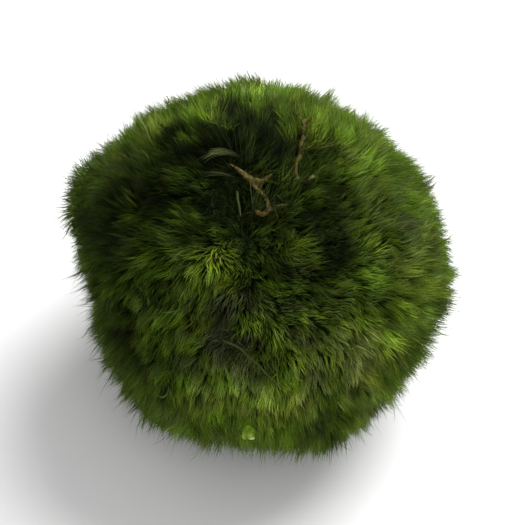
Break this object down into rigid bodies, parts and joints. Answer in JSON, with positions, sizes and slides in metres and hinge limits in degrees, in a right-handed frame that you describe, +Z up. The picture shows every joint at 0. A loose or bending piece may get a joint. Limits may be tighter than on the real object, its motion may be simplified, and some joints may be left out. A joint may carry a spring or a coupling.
{
  "type": "marimo moss ball",
  "caption": "Soft green ball of felted algae filaments with a shallow hollow on top, scraps of rootlet and straw caught in it, and a small flat foot to rest on.",
  "frame": {"origin": "on the flat foot's plane, under the middle of the whole thing", "axes": "+Z up, -Y towards the side that shows the scraps, +X to the right seen from there"},
  "size_m": [0.051, 0.0508, 0.0477],
  "materials": {
    "moss": "soft, damp, fibrous",
    "rootlet": "dull, slightly damp bark",
    "straw": "dull dry stalk",
    "leaf": "waxy, damp"
  },
  "bodies": {
    "root": {"moss_ball": "moss", "forked_rootlet": "rootlet", "curved_rootlet": "rootlet", "straw_thread": "straw", "short_straw": "straw", "lime_leaf": "leaf"}
  },
  "joints": []
}
